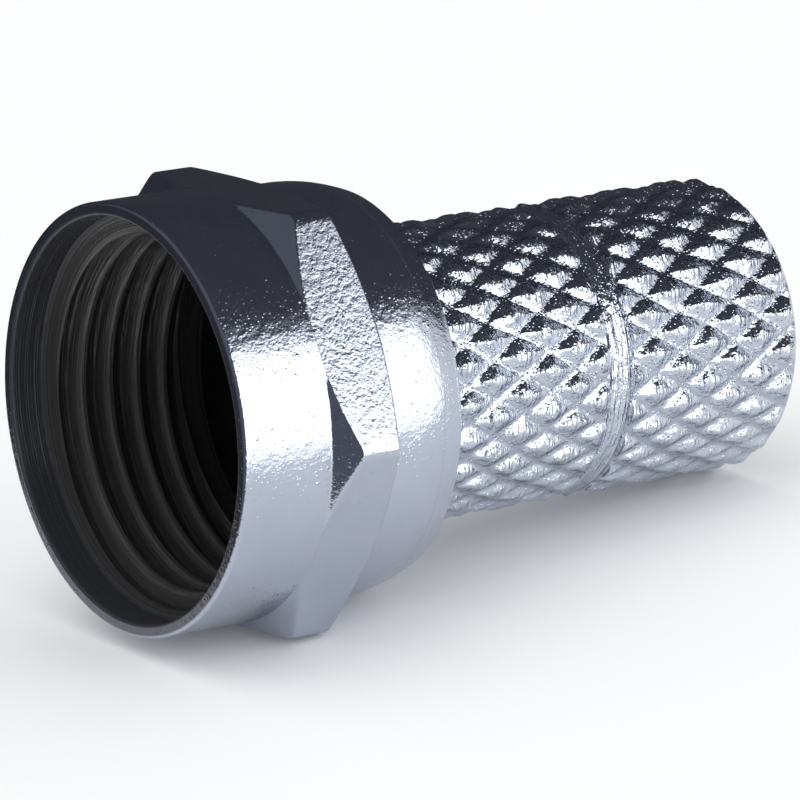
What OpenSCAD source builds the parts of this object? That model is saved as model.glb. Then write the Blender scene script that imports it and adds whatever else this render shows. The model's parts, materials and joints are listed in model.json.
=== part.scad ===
// Twist-on F connector for coaxial cable, lying as it comes to rest: on one flat of its
// coupling nut and on the cable end of its knurled sleeve.
//
// Each piece is drawn about the connector's own axis, which is local +Z. Height 0 is the plane
// of the nut's mouth, and the cable end is at the top. lay_down() then lays the axis along +X.

/* [Coupling nut] */
// Length of the nut along the axis
nut_length = 6.6; // [6.5:0.1:7.6]
// Thickness of the round collar in front of the hexagon, outside the lead-in
front_wall = 0.34; // [0.3:0.02:0.7]
// Thickness of the round collar behind the hexagon, outside the relief
rear_wall = 0.4; // [0.35:0.05:0.8]
// How far the flats of the hexagon lie inside the front collar's round
flat_sink = 0.05; // [0.03:0.01:0.2]
// Distance from the mouth to the front of the flats
hex_front = 2.5; // [2.2:0.1:2.8]
// Length of a flat, along the middle of its face
hex_length = 1.8; // [1.6:0.1:2.2]
// Turning cut that takes the sharp tip off each corner of the hexagon
corner_cut = 0.04; // [0.02:0.01:0.2]
// Slope of the hexagon's front chamfer from a square face, in degrees
front_slope = 30; // [10:1:35]
// Slope of the hexagon's rear chamfer from a square face, in degrees
rear_slope = 25; // [10:1:35]
// Length of the rounded shoulder at the back of the nut
dome_length = 1.5; // [1:0.1:1.8]
// Radius of the rounded shoulder at the back of the nut
dome_radius = 3.8; // [3.2:0.1:5]
// Break on the nut's rim at the mouth
rim_break = 0.08; // [0.04:0.01:0.15]

/* [Coupling thread] */
// Tapping diameter of the 3/8-32 coupling thread
thread_bore_d = 8.8; // [8.6:0.05:8.9]
// Radial step from the thread's bore out to the plain lead-in at the mouth
lead_in_step = 0.56; // [0.45:0.01:0.65]
// Depth of the plain lead-in
lead_in_depth = 0.9; // [0.6:0.1:1.2]
// Radial step from the thread's bore out to the relief behind it
relief_step = 0.35; // [0.25:0.01:0.4]
// Length of the relief, where the flange turns
relief_length = 1; // [0.95:0.05:1.3]
// Thickness of the lip that the flange holds
lip_thickness = 0.85; // [0.7:0.05:1]

/* [Flanged ferrule] */
// Radial clearance of the flange, which goes in through the thread's bore
flange_clearance = 0.3; // [0.15:0.05:0.5]
// Thickness of the flange
flange_thickness = 0.6; // [0.5:0.05:0.7]
// Diameter of the neck that the nut turns on
neck_d = 6.2; // [6:0.1:6.4]
// Diameter of the shank that is pressed into the sleeve
shank_d = 5.5; // [5.3:0.05:5.7]
// Length of the shank
shank_length = 2.2; // [1.6:0.1:3]
// Hole for the cable's dielectric
dielectric_d = 4; // [3.7:0.05:4.6]

/* [Knurled sleeve] */
// Length of the sleeve
sleeve_length = 11.2; // [10:0.1:14]
// Bore for the cable's jacket
cable_bore_d = 6; // [5.8:0.05:6.4]
// Thickness of the sleeve's wall, out to the tops of the knurl
sleeve_wall = 0.72; // [0.66:0.02:1]
// Length of the front knurled stretch
front_knurl_length = 5.3; // [4.6:0.1:6]
// Width of the plain band between the two knurled stretches
band_width = 0.6; // [0.4:0.1:1]
// Depth of the plain band below the knurl's tops
band_depth = 0.1; // [0.05:0.01:0.15]
// Width of the narrow groove beside the plain band
groove_width = 0.12; // [0.08:0.02:0.3]
// Depth of the narrow groove below the knurl's tops
groove_depth = 0.27; // [0.25:0.02:0.33]
// Chamfer at the sleeve's cable end
end_chamfer = 0.25; // [0.15:0.05:0.35]
// Chamfer at the sleeve's nut end
shoulder_chamfer = 0.15; // [0.1:0.05:0.25]
// Countersink at the mouth of the cable bore
bore_chamfer = 0.25; // [0.1:0.05:0.3]

/* [Knurl] */
// Diamonds in one ring round the sleeve
knurl_count = 23; // [18:1:28]
// Length of one diamond along the axis
knurl_pitch = 1.63; // [1.3:0.03:1.9]
// Depth of the crossed grooves
knurl_depth = 0.2; // [0.16:0.02:0.24]
// Share of each diamond that stays flat on top
knurl_flat = 0.45; // [0.3:0.05:0.6]
// Distance from the sleeve's nut end to the first ring where the grooves cross
knurl_lead = 0.22; // [0.1:0.02:0.5]
// Turn of the knurl about the axis, as a share of one diamond
knurl_turn = 0.22; // [0:0.02:0.98]

/* [Fits] */
// Radial clearance of the ferrule's neck in the nut's lip
neck_clearance = 0.07; // [0.03:0.01:0.1]
// Play of the nut along the axis, on each side of its lip
nut_play = 0.12; // [0.08:0.01:0.2]
// Radial clearance of the pressed shank in the sleeve's seat
seat_clearance = 0.01; // [0:0.005:0.02]
// Depth that the sleeve's seat is bored beyond the end of the shank
seat_spare = 0.3; // [0.1:0.1:0.6]

/* [Hidden] */
$fn = 96;

past = 0.5;  // how far a cut runs past the face that it opens
run_out = 3;  // length of the knurl's run-out into the band, over its depth

// Heights along the axis, from the mouth
hex_back = hex_front + hex_length;
dome_start = nut_length - dome_length;
lip_front = nut_length - lip_thickness;
thread_end = lip_front - relief_length;
flange_back = lip_front - nut_play;
flange_front = flange_back - flange_thickness;
sleeve_front = nut_length + nut_play;
sleeve_back = sleeve_front + sleeve_length;
shank_back = sleeve_front + shank_length;
seat_back = shank_back + seat_spare;
front_knurl_end = sleeve_front + front_knurl_length;
band_end = front_knurl_end + band_width;
rear_knurl_start = band_end + groove_width;

// Radii
thread_bore_r = thread_bore_d / 2;
lead_in_r = thread_bore_r + lead_in_step;
relief_r = thread_bore_r + relief_step;
flange_r = thread_bore_r - flange_clearance;
collar_r = lead_in_r + front_wall;
rear_collar_r = relief_r + rear_wall;
flat_r = collar_r - flat_sink;
corner_r = flat_r / cos(30) - corner_cut;
cable_r = cable_bore_d / 2;
sleeve_r = cable_r + sleeve_wall;
neck_r = neck_d / 2;
lip_bore_r = neck_r + neck_clearance;
seat_r = shank_d / 2 + seat_clearance;
knurl_root_r = sleeve_r - knurl_depth;
band_r = sleeve_r - band_depth;

// The connector leans on whichever round or flat of the nut reaches lowest, and on the edge of
// the sleeve's end chamfer. Each point is [height along the axis, distance from the axis].
heel = [sleeve_back - end_chamfer, sleeve_r];
nut_supports = [[hex_front, collar_r], [hex_back, flat_r], [dome_start, rear_collar_r]];
lean = max([for (p = nut_supports) atan((p[1] - heel[1]) / (heel[0] - p[0]))]);
axis_height = heel[0] * sin(lean) + heel[1] * cos(lean);
low_x = -collar_r * sin(lean);
high_x = sleeve_back * cos(lean) + (sleeve_r - end_chamfer) * sin(lean);

// Lays a piece that is drawn along +Z on the ground plane, centred over the origin in X
module lay_down() {
    translate([-(low_x + high_x) / 2, 0, axis_height])
        rotate([0, 90 + lean, 0])
            children();
}

// A turned blank: its outline is a list of [radius, height] points
module turned(outline) {
    rotate_extrude() polygon(outline);
}

// The round limits of the hexagon. Its front chamfer starts at the front collar, and its rear
// chamfer runs down to the rear collar.
module hex_limits() {
    front_rise = (corner_r - collar_r) * tan(front_slope);
    rear_rise = (corner_r - flat_r) * tan(rear_slope);
    rear_foot = (flat_r - rear_collar_r) * tan(rear_slope);
    turned([
        [0, hex_front],
        [collar_r, hex_front],
        [corner_r, hex_front + front_rise],
        [corner_r, hex_back - rear_rise],
        [rear_collar_r, hex_back + rear_foot],
        [0, hex_back + rear_foot],
    ]);
}

// The nut's round outside: front collar, rear collar and rounded shoulder
module nut_round() {
    turned([
        [0, 0],
        [collar_r - rim_break, 0],
        [collar_r, rim_break],
        [collar_r, hex_front],
        [0, hex_front],
    ]);
    turned([
        [0, hex_front],
        [rear_collar_r, hex_front],
        [rear_collar_r, dome_start],
        [0, dome_start],
    ]);
    rotate_extrude()
        intersection() {
            translate([0, dome_start]) square([rear_collar_r, dome_length]);
            translate([rear_collar_r - dome_radius, dome_start]) circle(r = dome_radius);
        }
}

// The nut's inside, from the mouth: lead-in, tapped bore, relief for the flange, lip
module nut_cavity() {
    turned([
        [0, -past],
        [lead_in_r + rim_break, -past],
        [lead_in_r + rim_break, 0],
        [lead_in_r, rim_break],
        [lead_in_r, lead_in_depth],
        [thread_bore_r, lead_in_depth + (lead_in_r - thread_bore_r) / 2],
        [thread_bore_r, thread_end],
        [relief_r, thread_end],
        [relief_r, lip_front],
        [lip_bore_r, lip_front],
        [lip_bore_r, nut_length + past],
        [0, nut_length + past],
    ]);
}

// Captive hexagon nut with the coupling thread's bore, one flat turned to the ground
module coupling_nut() {
    color("silver")
        lay_down()
            difference() {
                union() {
                    nut_round();
                    intersection() {
                        translate([0, 0, hex_front])
                            rotate([0, 0, 30])
                                cylinder(h = hex_length + past, r = flat_r / cos(30), $fn = 6);
                        hex_limits();
                    }
                }
                nut_cavity();
            }
}

// Bush that holds the nut to the sleeve: flange, neck, pressed shank and a through hole
module flanged_ferrule() {
    color("gainsboro")
        lay_down()
            difference() {
                turned([
                    [0, flange_front],
                    [flange_r, flange_front],
                    [flange_r, flange_back],
                    [neck_r, flange_back],
                    [neck_r, sleeve_front],
                    [shank_d / 2, sleeve_front],
                    [shank_d / 2, shank_back],
                    [0, shank_back],
                ]);
                translate([0, 0, flange_front - past])
                    cylinder(h = shank_back - flange_front + 2 * past, d = dielectric_d);
            }
}

// Solid rod with crossed helical grooves that leave rings of flat-topped diamonds. Ring j of
// the grooves' crossings stands half a diamond further along the axis and half a diamond round
// from ring j - 1. The diamond with its middle in ring j reaches from ring j - 1 to ring j + 1.
module knurled_rod(low, high) {
    half = knurl_pitch / 2;
    step = 360 / knurl_count;
    first = floor((low - sleeve_front - knurl_lead) / half) - 2;
    rings = ceil((high - low) / half) + 5;

    function on_round(r, angle, height) = [r * cos(angle), r * sin(angle), height];
    function ring_height(j) = sleeve_front + knurl_lead + (first + j) * half;
    function ring_angle(j, i) = (i + knurl_turn + ((first + j) % 2 == 0 ? 0 : 0.5)) * step;

    crossings = [
        for (j = [0 : rings])
            for (i = [0 : knurl_count - 1])
                on_round(knurl_root_r, ring_angle(j, i), ring_height(j))
    ];
    tops = [
        for (j = [1 : rings - 1])
            for (i = [0 : knurl_count - 1])
                for (corner = [[-1, 0], [0, 1], [1, 0], [0, -1]])
                    on_round(
                        sleeve_r,
                        ring_angle(j, i) + (0.5 + corner[1] * knurl_flat / 2) * step,
                        ring_height(j) + corner[0] * knurl_flat * half
                    )
    ];
    ends = [[0, 0, ring_height(0)], [0, 0, ring_height(rings)]];

    function crossing(j, i) = j * knurl_count + i % knurl_count;
    function top(j, i, corner) = len(crossings) + ((j - 1) * knurl_count + i) * 4 + corner;
    // The crossing before or after ring j that lines up with the diamond's middle
    function beside(j, i, side) = crossing(j + side, i + ((first + j) % 2 == 0 ? 0 : 1));
    function quad(a, b, c, d) = [[a, c, b], [a, d, c]];
    first_end = len(crossings) + len(tops);

    diamonds = [
        for (j = [1 : rings - 1])
            for (i = [0 : knurl_count - 1])
                let (
                    rim = [beside(j, i, -1), crossing(j, i + 1), beside(j, i, 1), crossing(j, i)],
                    flat = [for (corner = [0 : 3]) top(j, i, corner)]
                )
                concat(
                    quad(flat[0], flat[1], flat[2], flat[3]),
                    [for (k = [0 : 3]) each quad(rim[k], rim[(k + 1) % 4], flat[(k + 1) % 4], flat[k])]
                )
    ];
    caps = [
        for (i = [0 : knurl_count - 1])
            each [
                [first_end, beside(1, i, -1), crossing(1, i + 1)],
                [first_end, crossing(1, i), beside(1, i, -1)],
                [first_end + 1, beside(rings - 1, i, 1), crossing(rings - 1, i)],
                [first_end + 1, crossing(rings - 1, i + 1), beside(rings - 1, i, 1)],
            ]
    ];
    polyhedron(
        points = concat(crossings, tops, ends),
        faces = concat([for (diamond = diamonds) each diamond], caps),
        convexity = 10
    );
}

// Front knurled stretch: chamfered at the nut, and running out into the plain band
module front_knurl() {
    lap = band_width / 2;
    intersection() {
        knurled_rod(sleeve_front, front_knurl_end + lap);
        turned([
            [0, sleeve_front],
            [sleeve_r - shoulder_chamfer, sleeve_front],
            [sleeve_r + past, sleeve_front + shoulder_chamfer + past],
            [sleeve_r + past, front_knurl_end - (past + band_depth) * run_out],
            [band_r - lap / run_out, front_knurl_end + lap],
            [0, front_knurl_end + lap],
        ]);
    }
}

// Rear knurled stretch: cut square at the groove, and chamfered at the cable end
module rear_knurl() {
    intersection() {
        knurled_rod(rear_knurl_start, sleeve_back);
        turned([
            [0, rear_knurl_start],
            [sleeve_r + past, rear_knurl_start],
            [sleeve_r + past, sleeve_back - end_chamfer - past],
            [sleeve_r - end_chamfer, sleeve_back],
            [0, sleeve_back],
        ]);
    }
}

// Plain band and the narrow groove beside it
module band_and_groove() {
    groove_r = sleeve_r - groove_depth;
    turned([
        [0, front_knurl_end],
        [band_r, front_knurl_end],
        [band_r, band_end],
        [groove_r, band_end],
        [groove_r, rear_knurl_start + band_width],
        [0, rear_knurl_start + band_width],
    ]);
}

// The sleeve's inside: seat for the ferrule's shank, then the cable's bore
module sleeve_cavity() {
    translate([0, 0, sleeve_front - past])
        cylinder(h = shank_length + seat_spare + 2 * past, r = seat_r);
    turned([
        [0, seat_back],
        [cable_r, seat_back],
        [cable_r, sleeve_back - bore_chamfer],
        [cable_r + bore_chamfer, sleeve_back],
        [cable_r + bore_chamfer, sleeve_back + past],
        [0, sleeve_back + past],
    ]);
}

// Sleeve that is twisted onto the cable: knurled in two stretches with a plain band between
module knurled_sleeve() {
    color("lightsteelblue")
        lay_down()
            difference() {
                union() {
                    front_knurl();
                    band_and_groove();
                    rear_knurl();
                }
                sleeve_cavity();
            }
}

coupling_nut();
flanged_ferrule();
knurled_sleeve();
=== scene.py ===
"""Looks of a twist-on F connector: plated coupling nut with its thread, and knurled sleeve.

Lengths in the shape functions are in millimetres along and about the connector's own axis:
height 0 is the plane of the nut's mouth, and angle 0 points to the ground.
"""

import json
import math

import bpy
import numpy as np
from mathutils import Matrix, Vector


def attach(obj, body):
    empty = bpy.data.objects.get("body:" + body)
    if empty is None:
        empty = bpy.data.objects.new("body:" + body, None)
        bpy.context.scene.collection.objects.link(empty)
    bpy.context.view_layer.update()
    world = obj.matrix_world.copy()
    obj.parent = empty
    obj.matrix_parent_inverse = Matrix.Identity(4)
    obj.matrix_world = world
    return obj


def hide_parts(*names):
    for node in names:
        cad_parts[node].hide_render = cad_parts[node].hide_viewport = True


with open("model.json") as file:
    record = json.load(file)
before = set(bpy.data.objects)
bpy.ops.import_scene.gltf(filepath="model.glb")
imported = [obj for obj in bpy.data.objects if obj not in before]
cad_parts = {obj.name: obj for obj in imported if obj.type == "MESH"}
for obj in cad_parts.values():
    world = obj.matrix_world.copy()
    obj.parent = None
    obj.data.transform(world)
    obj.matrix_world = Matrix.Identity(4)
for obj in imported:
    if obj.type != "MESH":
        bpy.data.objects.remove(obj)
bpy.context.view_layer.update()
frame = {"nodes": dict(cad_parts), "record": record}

MM = 0.001

# ---------------------------------------------------------------- where the connector lies

THREAD_MIDDLE = 2.965  # how far behind the mouth the thread's mount is
thread_mount = next(m for m in frame["record"]["mounts"] if m["name"] == "coupling_thread")
AXIS = -Vector(thread_mount["axis"]).normalized()
SIDE = Vector((0, 1, 0))
DOWN = SIDE.cross(AXIS)
MOUTH = Vector(thread_mount["pos_m"]) - AXIS * THREAD_MIDDLE * MM

# ---------------------------------------------------------------- sizes

# A wear or a fillet is the width over which two faces blend.

# Coupling nut, outside
NUT_LENGTH = 6.6
COLLAR_R = 5.3
REAR_COLLAR_R = 5.15
FLAT_R = 5.25
HEX_FRONT, HEX_BACK = 2.5, 4.3
FRONT_SLOPE, REAR_SLOPE = math.radians(30), math.radians(25)
SHOULDER_START, SHOULDER_R = 5.1, 3.8
RIM_BREAK, BACK_BREAK = 0.1, 0.1
RIM_MIDDLE_R, BACK_MIDDLE_R = 5.12, 4.0
CORNER_WEAR, CHAMFER_WEAR, COLLAR_FILLET = 0.26, 0.08, 0.07

# Coupling nut, inside
LEAD_IN_R, LEAD_IN_DEPTH = 4.96, 0.9
LEAD_IN_BREAK, LEAD_IN_END_SLOPE = 0.08, 2.0
THREAD_PITCH = 0.79375
THREAD_CREST_R, THREAD_ROOT_R = 4.4, 4.77
CREST_HALF_WIDTH, FLANK_ANGLE = 0.07, math.radians(30)
THREAD_WEAR = 0.04
THREAD_END = 4.75
RELIEF_R, RELIEF_FILLET = 4.75, 0.06
LIP_FRONT, LIP_R, LIP_CHAMFER = 5.75, 3.17, 0.06

# Knurled sleeve
SLEEVE_FRONT, SLEEVE_BACK = 6.72, 17.92
SLEEVE_R = 3.72
BAND_FRONT, BAND_BACK, REAR_KNURL = 12.02, 12.62, 12.74
BAND_R, GROOVE_R = 3.62, 3.45
RUN_OUT_PER_RISE, RUN_OUT_WEAR = 3, 0.02  # the knurl slopes down to the band, 3 along for 1 down
END_CHAMFER, SHOULDER_CHAMFER, EDGE_WEAR = 0.25, 0.15, 0.04
FACE_R = 3.3
SEAT_R, SEAT_END, SEAT_CHAMFER = 2.76, 9.22, 0.05
CABLE_R, CABLE_CHAMFER = 3.0, 0.25
DIAMONDS = 23  # round the sleeve
DIAMOND_LENGTH = 1.63
COLUMNS_PER_DIAMOND = 22
FIRST_CROSSING = SLEEVE_FRONT + 0.22  # height at which two grooves cross
KNURL_TURN = 0.22  # how far round the pattern starts, in diamonds
KNURL_DEPTH = 0.16
KNURL_LAND = 0.2  # share of a pyramid's height that is cut off flat
KNURL_TIP = 5  # more gives the pyramids sharper edges

# ---------------------------------------------------------------- colours

NICKEL, PALE_NICKEL = (0.44, 0.475, 0.56), (0.5, 0.535, 0.625)
RIM_GREY = (0.15, 0.15, 0.18)
# Painted shade in the nut's bore: dark greys, a little less dark at the lead-in by the mouth, and black
# in its turning marks.
LEAD_IN_SHADE_GREY = (0.135, 0.14, 0.16)
# Painted shade in the thread's roots, and a painted highlight on its crests.
THREAD_ROOT_SHADE, THREAD_CREST_HIGHLIGHT = (0.11, 0.107, 0.1), (0.22, 0.215, 0.205)
BORE_SHADE_BLACK = (0.025, 0.025, 0.03)
BRIGHT_PLATE, BRIGHTEST_PLATE = (0.51, 0.55, 0.64), (0.64, 0.68, 0.76)
# Painted shade, half mixed into the knurl's roots.
KNURL_ROOT_SHADE = (0.30, 0.32, 0.40)
SLEEVE_BORE_GREY = (0.34, 0.35, 0.37)
FERRULE_BLACK, FERRULE_GREY = (0.06, 0.06, 0.06), (0.1, 0.1, 0.095)
PAPER = (0.95, 0.95, 0.955)
WHITE = (1.0, 1.0, 1.0)
ROOM_LIGHT, ROOM_DARK = (0.84, 0.845, 0.85), (0.05, 0.052, 0.064)


# ---------------------------------------------------------------- meshes

def blend_down(a, b, width):
    """The smaller of a and b, rounded where they meet."""
    near = np.clip(0.5 + 0.5 * (b - a) / width, 0, 1)
    return b + (a - b) * near - width * near * (1 - near)


def blend_up(a, b, width):
    """The larger of a and b, rounded where they meet."""
    return -blend_down(-a, -b, width)


def column(values):
    """One value for each row of a ring."""
    return np.asarray(values)[:, None]


def spaced(start, *runs):
    """Heights of rows from start through runs of (end, step)."""
    values = [start]
    for end, step in runs:
        count = max(1, round(abs(end - values[-1]) / step))
        values.extend(np.linspace(values[-1], end, count + 1)[1:])
    return column(values)


def placed(name, data):
    """A new object in the scene, with its mesh, lamp or camera."""
    thing = bpy.data.objects.new(name, data)
    bpy.context.scene.collection.objects.link(thing)
    return thing


class Ring:
    """A closed ring about the connector's axis, laid row by row round its section."""

    def __init__(self, angles):
        self.angles = angles[None, :]
        self.radii, self.heights = [], []

    def lay(self, radii, heights):
        """Adds a row for each height, with one radius for the row or one for each of its points."""
        shape = (len(heights), self.angles.size)
        self.radii.append(np.broadcast_to(radii, shape))
        self.heights.append(np.broadcast_to(heights, shape))

    def lay_round(self, *points):
        """Adds plain round rows from pairs of radius and height."""
        radii, heights = zip(*points)
        self.lay(column(radii), column(heights))

    def piece(self, name):
        """The ring's mesh: quads from each row to the next, and from the last row to the first."""
        radii, heights = np.vstack(self.radii), np.vstack(self.heights)
        local = np.stack([radii * np.cos(self.angles), radii * np.sin(self.angles), heights], axis=-1)
        basis = np.array([DOWN, SIDE, AXIS])
        points = local.reshape(-1, 3) @ basis * MM + np.array(MOUTH)
        index = np.arange(radii.size).reshape(radii.shape)
        next_row = np.roll(index, -1, axis=0)
        next_column = np.roll(index, -1, axis=1)
        corner = np.roll(next_row, -1, axis=1)
        quads = np.stack([index, next_column, corner, next_row], axis=-1).reshape(-1, 4)
        mesh = bpy.data.meshes.new(name)
        mesh.vertices.add(len(points))
        mesh.vertices.foreach_set("co", points.ravel())
        mesh.loops.add(quads.size)
        mesh.loops.foreach_set("vertex_index", quads.ravel())
        mesh.polygons.add(len(quads))
        mesh.polygons.foreach_set("loop_start", np.arange(0, quads.size, 4))
        mesh.polygons.foreach_set("loop_total", np.full(len(quads), 4))
        mesh.polygons.foreach_set("use_smooth", np.ones(len(quads), dtype=bool))
        mesh.update(calc_edges=True)
        return placed(name, mesh)


def nut_outside(angle, z):
    """Radius of the nut's outside: collars, chamfered hexagon and rounded shoulder."""
    off_flat = (np.degrees(angle) + 30) % 60 - 30
    near_flat = FLAT_R / np.cos(np.radians(off_flat))
    next_flat = FLAT_R / np.cos(np.radians(60 - np.abs(off_flat)))
    hexagon = blend_down(near_flat, next_flat, CORNER_WEAR)
    front = COLLAR_R + (z - HEX_FRONT) / math.tan(FRONT_SLOPE)
    rear = FLAT_R + (HEX_BACK - z) / math.tan(REAR_SLOPE)
    hexagon = blend_down(blend_down(hexagon, front, CHAMFER_WEAR), rear, CHAMFER_WEAR)
    past = np.clip(z - SHOULDER_START, 0, None)
    collars = np.where(
        z < SHOULDER_START,
        np.where(z < HEX_FRONT, COLLAR_R, REAR_COLLAR_R),
        REAR_COLLAR_R - SHOULDER_R + np.sqrt(SHOULDER_R ** 2 - past ** 2),
    )
    return blend_up(hexagon, collars, COLLAR_FILLET)


def nut_inside(angle, z):
    """Radius of the nut's bore: lead-in, the thread's ridges on their helix, and relief."""
    turn = z / THREAD_PITCH - angle / (2 * math.pi)
    from_ridge = np.abs((turn + 0.5) % 1 - 0.5) * THREAD_PITCH
    flank = (from_ridge - CREST_HALF_WIDTH) / math.tan(FLANK_ANGLE)
    thread = np.clip(THREAD_CREST_R + flank, THREAD_CREST_R, THREAD_ROOT_R)
    lead_in = LEAD_IN_R - np.clip(z - LEAD_IN_DEPTH, 0, None) * LEAD_IN_END_SLOPE
    return np.where(z > THREAD_END, RELIEF_R, blend_up(thread, lead_in, THREAD_WEAR))


def coupling_nut():
    """The nut: from the mouth over its outside to the back, and through its bore to the mouth."""
    side = np.linspace(0, 1, 25)
    half = 30 * (1 - (1 - side) ** 1.6)  # columns crowd towards the hexagon's corners
    sector = np.concatenate([-half[:0:-1], half[:-1]])
    ring = Ring(np.radians(np.concatenate([60 * k + sector for k in range(6)])))
    # rows round an edge: how far each has gone from the first face, and has to go to the second
    bend = column(np.radians([10, 30, 50, 70, 85]))
    gone, to_go = 1 - np.cos(bend), 1 - np.sin(bend)
    # rim at the mouth, rounded on both sides
    ring.lay(LEAD_IN_R + LEAD_IN_BREAK * to_go[::-1], LEAD_IN_BREAK * gone[::-1])
    ring.lay_round((LEAD_IN_R + 0.1, 0.0), (RIM_MIDDLE_R, 0.0), (COLLAR_R - RIM_BREAK - 0.01, 0.0))
    ring.lay(COLLAR_R - RIM_BREAK * to_go, RIM_BREAK * gone)
    # outside, with close rows at the hexagon's chamfers, and the rounded edge behind it
    z = spaced(
        RIM_BREAK + 0.02, (HEX_FRONT - 0.12, 0.12), (HEX_FRONT + 0.45, 0.02), (HEX_BACK - 0.45, 0.06),
        (HEX_BACK + 0.15, 0.02), (SHOULDER_START - 0.1, 0.06), (NUT_LENGTH - BACK_BREAK, 0.06),
    )
    ring.lay(nut_outside(ring.angles, z), z)
    edge = nut_outside(0.0, np.array([NUT_LENGTH - BACK_BREAK]))[0]
    ring.lay(edge - BACK_BREAK * gone, NUT_LENGTH - BACK_BREAK * to_go)
    # back face, lip and relief
    ring.lay_round(
        (edge - BACK_BREAK - 0.02, NUT_LENGTH), (BACK_MIDDLE_R, NUT_LENGTH),
        (LIP_R + LIP_CHAMFER, NUT_LENGTH), (LIP_R, NUT_LENGTH - LIP_CHAMFER),
        (LIP_R, LIP_FRONT), (LIP_R + 0.03, LIP_FRONT), (RELIEF_R - RELIEF_FILLET, LIP_FRONT),
        (RELIEF_R - RELIEF_FILLET / 3, LIP_FRONT - RELIEF_FILLET / 3),
        (RELIEF_R, LIP_FRONT - RELIEF_FILLET),
    )
    # bore, with close rows over the thread
    z = spaced(
        LIP_FRONT - 0.15, (THREAD_END + 0.05, 0.2), (THREAD_END - 0.05, 0.02),
        (LEAD_IN_DEPTH - 0.05, 0.033), (0.1, 0.1),
    )
    ring.lay(nut_inside(ring.angles, z), z)
    return ring.piece("plated_nut")


def groove_nearness(turns):
    """How near a row of rolled grooves is: 1 in a root, and 0 on the ridge between two."""
    return 2 * np.abs(turns % 1 - 0.5)


def knurl_height(angle, z):
    """How far the knurled surface stands above its roots, from 0 to 1: blunt pyramids in rows."""
    def wave(size, times_round, per_mm, start=0.0):
        """Part of a diamond by which rolled rows stray."""
        return size * np.sin(times_round * angle + per_mm * z + start)

    stray = wave(0.022, 3, 2.1) + wave(0.02, 7, -3.7, 1.0)
    across = angle / (2 * math.pi) * DIAMONDS - KNURL_TURN + stray
    along = (z - FIRST_CROSSING) / DIAMOND_LENGTH + wave(0.028, 5, 1.3)
    crossed = groove_nearness(across + along) ** KNURL_TIP + groove_nearness(across - along) ** KNURL_TIP
    return np.clip((1 - crossed ** (1 / KNURL_TIP)) / (1 - KNURL_LAND), 0, 1)


def sleeve_outside(angle, z):
    """Radius of the sleeve's outside: two knurled stretches, plain band, groove, end chamfers."""
    knurl = SLEEVE_R - KNURL_DEPTH * (1 - knurl_height(angle, z))
    run_out = BAND_R + (BAND_FRONT - z) / RUN_OUT_PER_RISE
    shoulder = SLEEVE_R - SHOULDER_CHAMFER + (z - SLEEVE_FRONT)
    end = SLEEVE_R - END_CHAMFER + (SLEEVE_BACK - z)
    front = blend_down(blend_down(knurl, run_out, RUN_OUT_WEAR), shoulder, EDGE_WEAR)
    front = np.where(z > BAND_FRONT, BAND_R, front)
    rear = blend_down(knurl, end, EDGE_WEAR)
    return np.where(z < BAND_BACK, front, np.where(z < REAR_KNURL, GROOVE_R, rear))


def knurled_sleeve():
    """The sleeve: over its outside to the cable's end, and through its bore to the nut."""
    ring = Ring(np.radians(np.linspace(0, 360, DIAMONDS * COLUMNS_PER_DIAMOND, endpoint=False)))
    z = spaced(
        SLEEVE_FRONT, (SLEEVE_FRONT + 0.16, 0.04), (BAND_FRONT - 0.1, 0.07), (BAND_BACK - 0.01, 0.05),
        (BAND_BACK + 0.02, 0.03), (REAR_KNURL - 0.02, 0.04), (REAR_KNURL + 0.01, 0.03),
        (SLEEVE_BACK - 0.3, 0.07), (SLEEVE_BACK, 0.03),
    )
    ring.lay(sleeve_outside(ring.angles, z), z)
    ring.lay_round(
        (SLEEVE_R - END_CHAMFER - 0.02, SLEEVE_BACK), (FACE_R, SLEEVE_BACK),
        (CABLE_R + CABLE_CHAMFER - 0.01, SLEEVE_BACK), (CABLE_R, SLEEVE_BACK - CABLE_CHAMFER),
        (CABLE_R, SEAT_END), (SEAT_R, SEAT_END), (SEAT_R, SLEEVE_FRONT + SEAT_CHAMFER),
        (SEAT_R + SEAT_CHAMFER, SLEEVE_FRONT), (FACE_R, SLEEVE_FRONT),
    )
    return ring.piece("plated_sleeve")


# ---------------------------------------------------------------- shader writing

class Wire:
    """A shader socket that takes part in Python expressions."""

    def __init__(self, tree, socket):
        self.tree, self.socket = tree, socket

    def maths(self, operation, *terms, clamp=False):
        node = self.tree.nodes.new("ShaderNodeMath")
        node.operation, node.use_clamp = operation, clamp
        for slot, term in zip(node.inputs, terms):
            join(self.tree, term, slot)
        return Wire(self.tree, node.outputs[0])

    def __add__(self, other):
        return self.maths("ADD", self, other)

    __radd__ = __add__

    def __sub__(self, other):
        return self.maths("SUBTRACT", self, other)

    def __rsub__(self, other):
        return self.maths("SUBTRACT", other, self)

    def __mul__(self, other):
        return self.maths("MULTIPLY", self, other)

    __rmul__ = __mul__

    def __pow__(self, other):
        return self.maths("POWER", self, other)

    def clamped(self):
        return self.maths("ADD", self, 0.0, clamp=True)


def join(tree, value, socket):
    """Links a wire to a socket or writes a value in it; a colour gets its alpha here."""
    if isinstance(value, Wire):
        tree.links.new(value.socket, socket)
    elif socket.type == "RGBA":
        socket.default_value = (*value, 1)
    else:
        socket.default_value = value


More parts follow.
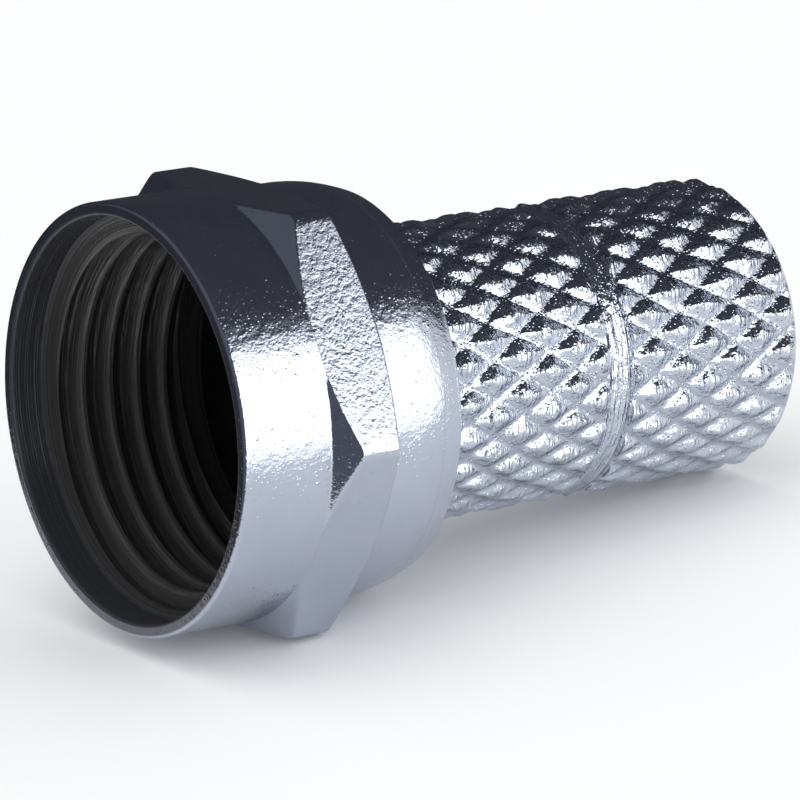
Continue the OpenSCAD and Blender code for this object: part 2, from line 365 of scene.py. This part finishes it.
class Recipe:
    """The nodes of a material or a world, written from nothing."""

    def __init__(self, owner):
        owner.use_nodes = True
        self.tree = owner.node_tree
        self.tree.nodes.clear()

    def node(self, kind, settings=None, sockets=None, output=0):
        """Adds a node, sets its settings and then its sockets, and returns one of its outputs."""
        node = self.tree.nodes.new(kind)
        for key, value in (settings or {}).items():
            setattr(node, key, value)
        for key, value in (sockets or {}).items():
            join(self.tree, value, node.inputs[key])
        return Wire(self.tree, node.outputs[output]) if len(node.outputs) else None

    def vector(self, operation, sockets, output=0):
        return self.node("ShaderNodeVectorMath", {"operation": operation}, sockets, output)

    def dot(self, vector, direction):
        """How far a vector reaches along a direction."""
        return self.vector("DOT_PRODUCT", {0: vector, 1: tuple(direction)}, "Value")

    def combine(self, x, y, z):
        return self.node("ShaderNodeCombineXYZ", {}, {"X": x, "Y": y, "Z": z})

    def mix(self, factor, a, b):
        """Colour a where the factor is 0, and colour b where it is 1."""
        sockets = {0: factor, 6: a, 7: b}  # the node's colour sockets can't be told by name
        return self.node("ShaderNodeMix", {"data_type": "RGBA"}, sockets, 2)

    def ramp(self, value, low, high):
        """0 below low, 1 above high, and smooth between."""
        sockets = {"Value": value, "From Min": low, "From Max": high}
        return self.node("ShaderNodeMapRange", {"interpolation_type": "SMOOTHSTEP"}, sockets)

    def stretch(self, value, start, end, soft):
        """1 between start and end and 0 outside, with soft ends of this length."""
        return self.ramp(value, start, start + soft) * (1 - self.ramp(value, end - soft, end))

    def noise(self, vector, scale, detail=2.0, rough=0.5):
        sockets = {"Vector": vector, "Scale": scale, "Detail": detail, "Roughness": rough}
        return self.node("ShaderNodeTexNoise", {}, sockets)

    def seen(self):
        """1 for what is looked at straight, in a shine or through glass, and 0 for what only lights."""
        camera, glossy, through = (
            self.node("ShaderNodeLightPath", {}, {}, name)
            for name in ("Is Camera Ray", "Is Glossy Ray", "Is Transmission Ray")
        )
        return (camera + glossy + through).clamped()


class ConnectorFinish(Recipe):
    """A material that knows where it is on the connector, in millimetres."""

    def __init__(self, name):
        self.material = bpy.data.materials.new(name)
        super().__init__(self.material)
        point = self.node("ShaderNodeTexCoord", {}, {}, "Object")
        from_mouth = self.vector("SUBTRACT", {0: point, 1: tuple(MOUTH)})
        self.place = self.vector("SCALE", {"Vector": from_mouth, "Scale": 1 / MM})
        self.height = self.dot(self.place, AXIS)
        self.down = self.dot(self.place, DOWN)
        self.side = self.dot(self.place, SIDE)
        self.radius = (self.down * self.down + self.side * self.side) ** 0.5

    def bump(self, height, distance_mm, normal=None, strength=1.0):
        """The surface raised by a height, over the bumps of the normal that is given."""
        sockets = {"Height": height, "Distance": distance_mm * MM, "Strength": strength}
        if normal is not None:
            sockets["Normal"] = normal
        return self.node("ShaderNodeBump", {}, sockets)

    def cells(self, per_mm, output):
        return self.node("ShaderNodeTexVoronoi", {}, {"Vector": self.place, "Scale": per_mm}, output)

    def domes(self, per_mm):
        """Little domes that touch, as in an orange peel: 1 in the middle of each and less at its edge."""
        away = self.cells(per_mm, "Distance")
        return 1 - away * away

    def grit(self, per_mm, spared):
        """Scattered small grains: 1 in the middle of a grain and 0 on the plain plate."""
        away = self.cells(per_mm, "Distance")
        chance = self.node("ShaderNodeSeparateColor", {}, {"Color": self.cells(per_mm, "Color")}, "Red")
        return (1 - self.ramp(away, 0.0, 0.5)) * self.ramp(chance, spared, spared + 0.02)

    def turning_marks(self, per_mm):
        """Rings round the axis, as a lathe's tool leaves them."""
        return self.noise(self.combine(self.radius, 0.0, self.height), per_mm, rough=0.6)

    def done(self, colour, metallic, rough, normal):
        """Closes the recipe with its shader, and returns the material."""
        sockets = {"Base Color": colour, "Metallic": metallic, "Roughness": rough, "Normal": normal}
        shader = self.node("ShaderNodeBsdfPrincipled", {}, sockets, "BSDF")
        self.node("ShaderNodeOutputMaterial", {}, {"Surface": shader})
        return self.material


# ---------------------------------------------------------------- finishes

def nut_plating():
    """Satin nickel plate with a fine orange peel; the bore is turned, with little shine, painted dark as
    its shade, and has painted highlights on the thread's crests.
    """
    m = ConnectorFinish("nut_plating")
    # where things are
    within = 1 - m.ramp(m.radius, LEAD_IN_R + 0.04, LEAD_IN_R + 0.11)
    bore = within * (1 - m.ramp(m.height, LIP_FRONT + 0.15, LIP_FRONT + 0.25))
    rim = (1 - m.ramp(m.height, 0.01, 0.05)) * (1 - m.ramp(m.radius, COLLAR_R - 0.1, COLLAR_R - 0.04))
    hexed = m.stretch(m.height, HEX_FRONT - 0.05, HEX_BACK + 0.15, 0.15)
    lead_in = 1 - m.ramp(m.height, LEAD_IN_DEPTH - 0.05, LEAD_IN_DEPTH + 0.1)
    ridge = 1 - m.ramp(m.radius, THREAD_CREST_R + 0.02, THREAD_CREST_R + 0.22)
    plain = 1 - bore
    # what is on them
    swell = m.noise(m.place, 4.0)
    cloud = m.noise(m.place, 0.8, detail=3.0, rough=0.6)
    grain = m.noise(m.place, 15.0, rough=0.6)
    peel = m.domes(8.0)
    grit = m.grit(13.0, 0.7)
    specks = m.grit(9.0, 0.955)
    turned = m.turning_marks(22.0)

    plate = m.mix(rim, m.mix(cloud, NICKEL, PALE_NICKEL), RIM_GREY)
    # painted shade in the thread's roots and a painted highlight on its crests
    thread_shade_and_highlight = m.mix(ridge, THREAD_ROOT_SHADE, THREAD_CREST_HIGHLIGHT)
    # the bore painted dark as its shade, streaked with turning marks
    bore_shade = m.mix(turned, BORE_SHADE_BLACK, m.mix(lead_in, thread_shade_and_highlight, LEAD_IN_SHADE_GREY))
    colour = m.mix(bore, plate, bore_shade)
    satin = 0.16 + 0.08 * (cloud - 0.5)

    # relief, with its depths in millimetres
    normal = m.bump(swell, 0.02, strength=0.7)
    normal = m.bump(peel * plain * (0.5 + 0.5 * hexed), 0.005, normal)
    normal = m.bump(grain * plain, 0.007, normal)
    normal = m.bump(grit * plain, 0.006, normal)
    normal = m.bump(specks * plain, 0.013, normal)
    normal = m.bump(turned * bore, 0.03, normal)
    return m.done(colour, 1 - 0.4 * bore, satin * plain + 0.24 * bore, normal)


def sleeve_plating():
    """Bright plate over the knurl: turning marks across the lands, grit all over, and painted shade in
    the knurl's roots.
    """
    m = ConnectorFinish("sleeve_plating")
    # where things are
    root_r = SLEEVE_R - KNURL_DEPTH
    inside = 1 - m.ramp(m.radius, CABLE_R + 0.05, CABLE_R + 0.3)
    band = m.stretch(m.height, BAND_FRONT - 0.02, BAND_BACK - 0.02, 0.05)
    top = (m.ramp(m.radius, SLEEVE_R - 0.13, SLEEVE_R - 0.02) + band).clamped()
    # painted shade: the knurl's roots are darkened
    root = 0.5 - 0.5 * m.ramp(m.radius, root_r + 0.01, root_r + 0.05)
    plain = 1 - inside
    # what is on them
    swell = m.noise(m.place, 4.0)
    grain = m.noise(m.place, 12.0, rough=0.6)
    grit = m.grit(13.0, 0.62)
    drawn_round = m.combine(0.35 * m.down, 0.35 * m.side, 4.0 * m.height)
    turned = m.noise(drawn_round, 3.0, detail=1.0)

    plate = m.mix(root, m.mix(swell, BRIGHT_PLATE, BRIGHTEST_PLATE), KNURL_ROOT_SHADE)
    colour = m.mix(inside, plate, SLEEVE_BORE_GREY)
    rough = 0.12 + 0.06 * (swell - 0.5) + 0.15 * inside

    # relief, with its depths in millimetres
    normal = m.bump(swell * plain, 0.07)
    normal = m.bump(grain * plain, 0.014, normal)
    normal = m.bump(grit * plain, 0.026, normal)
    normal = m.bump(turned * top, 0.1, normal)
    return m.done(colour, 1.0, rough, normal)


def ferrule_plating():
    """Dark turned metal, deep in the nut."""
    m = ConnectorFinish("ferrule_plating")
    grain = m.noise(m.place, 8.0)
    colour = m.mix(grain, FERRULE_BLACK, FERRULE_GREY)
    normal = m.bump(m.turning_marks(16.0), 0.01, strength=0.6)
    return m.done(colour, 1.0, 0.3 + 0.1 * grain, normal)


# ---------------------------------------------------------------- studio

def board(name, corners, finish):
    """A flat four-cornered piece of the studio, and the empty recipe of its material."""
    mesh = bpy.data.meshes.new(name)
    mesh.from_pydata(corners, [], [(0, 1, 2, 3)])
    material = bpy.data.materials.new(finish)
    mesh.materials.append(material)
    piece = placed(name, mesh)
    return piece, Recipe(material)


def floor():
    """White paper that keeps the connector's shadow."""
    reach, sink = 3.0, 0.00002
    corners = [(-reach, -reach, 0), (reach, -reach, 0), (reach, reach, 0), (-reach, reach, 0)]
    piece, m = board("floor", corners, "floor_paper")
    piece.location.z = -sink
    paper = m.node("ShaderNodeBsdfDiffuse", {}, {"Color": PAPER})
    white = m.node("ShaderNodeEmission", {}, {"Color": WHITE, "Strength": 1.0})
    surface = m.node("ShaderNodeMixShader", {}, {0: 0.05 * m.seen(), 1: paper, 2: white})
    m.node("ShaderNodeOutputMaterial", {}, {"Surface": surface})


def card(name, start, end, high, colour, glow=0.0):
    """A card that stands over a line on the floor. It only shows in the plating, and has no shadow."""
    piece, m = board(name, [(*start, 0), (*end, 0), (*end, high), (*start, high)], name)
    piece.visible_camera = piece.visible_diffuse = piece.visible_shadow = False
    if glow:
        surface = m.node("ShaderNodeEmission", {}, {"Color": colour, "Strength": glow})
    else:
        surface = m.node("ShaderNodeBsdfDiffuse", {}, {"Color": colour})
    m.node("ShaderNodeOutputMaterial", {}, {"Surface": surface})


def lamp(name, place, target, size, power):
    """A soft lamp that lights the connector but doesn't show in its plating."""
    light = bpy.data.lights.new(name, "AREA")
    light.shape, light.energy = "RECTANGLE", power
    light.size, light.size_y = size
    holder = placed(name, light)
    holder.location = place
    holder.rotation_euler = (Vector(target) - Vector(place)).to_track_quat("-Z", "Z").to_euler()
    holder.visible_glossy = False


def room():
    """Surroundings: dark overhead, pale round the horizon, and pale far higher on the lit side."""
    world = bpy.data.worlds.new("studio")
    bpy.context.scene.world = world
    m = Recipe(world)
    look = m.node("ShaderNodeTexCoord", {}, {}, "Generated")
    up = m.node("ShaderNodeSeparateXYZ", {}, {"Vector": look}, "Z")
    lit_side = (0.59, -0.8, 0.0)
    lit = m.ramp(m.dot(look, lit_side), 0.66, 0.86)
    pale_top = 0.05 + 0.54 * lit
    dark = m.ramp(up - pale_top, -0.04, 0.05)
    colour = m.mix(m.seen(), ROOM_LIGHT, m.mix(dark, WHITE, ROOM_DARK))
    background = m.node("ShaderNodeBackground", {}, {"Color": colour, "Strength": 1.0})
    m.node("ShaderNodeOutputWorld", {}, {"Surface": background})


def camera():
    """A long lens in front of the mouth, to one side of it and a little above."""
    data = bpy.data.cameras.new("camera")
    data.lens, data.sensor_width = 307.2, 36.0
    data.clip_start, data.clip_end = 0.01, 10
    place = (-0.09009179, -0.13322259, 0.05592919)
    right = Vector((0.81062221, -0.57867656, -0.08958279))
    upward = Vector((0.24864678, 0.20165058, 0.94737101))
    back = Vector((-0.53015697, -0.79023445, 0.3073485))
    turn = Matrix((right, upward, back)).transposed()
    holder = placed("camera", data)
    holder.matrix_world = Matrix.Translation(place) @ turn.to_4x4()
    bpy.context.scene.camera = holder


room()
floor()
camera()
lamp("overhead_softbox", (-0.05, 0.05, 0.3), (0, 0, 0), (0.3, 0.3), 0.2)
lamp("side_softbox", (0.118, -0.16, 0.055), (0, 0, 0.005), (0.2, 0.11), 0.11)
card("grey_card_at_the_mouth", (-0.016, -0.05), (-0.016, 0.03), 0.07, (0.125, 0.13, 0.15), glow=1.0)
card("black_card_behind", (-0.021, 0.02), (0.06, 0.02), 0.04, (0.04, 0.04, 0.05))
card("white_card", (0.021, -0.021), (-0.012, -0.023), 0.0215, WHITE, glow=2.6)

# ---------------------------------------------------------------- the connector's pieces

nut = coupling_nut()
nut.data.materials.append(nut_plating())
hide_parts("coupling_nut")
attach(nut, "nut")

sleeve = knurled_sleeve()
sleeve.data.materials.append(sleeve_plating())
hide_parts("knurled_sleeve")
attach(sleeve, "barrel")

ferrule = frame["nodes"]["flanged_ferrule"]
ferrule.data.materials.clear()
ferrule.data.materials.append(ferrule_plating())

bpy.context.scene.view_settings.view_transform = "Standard"
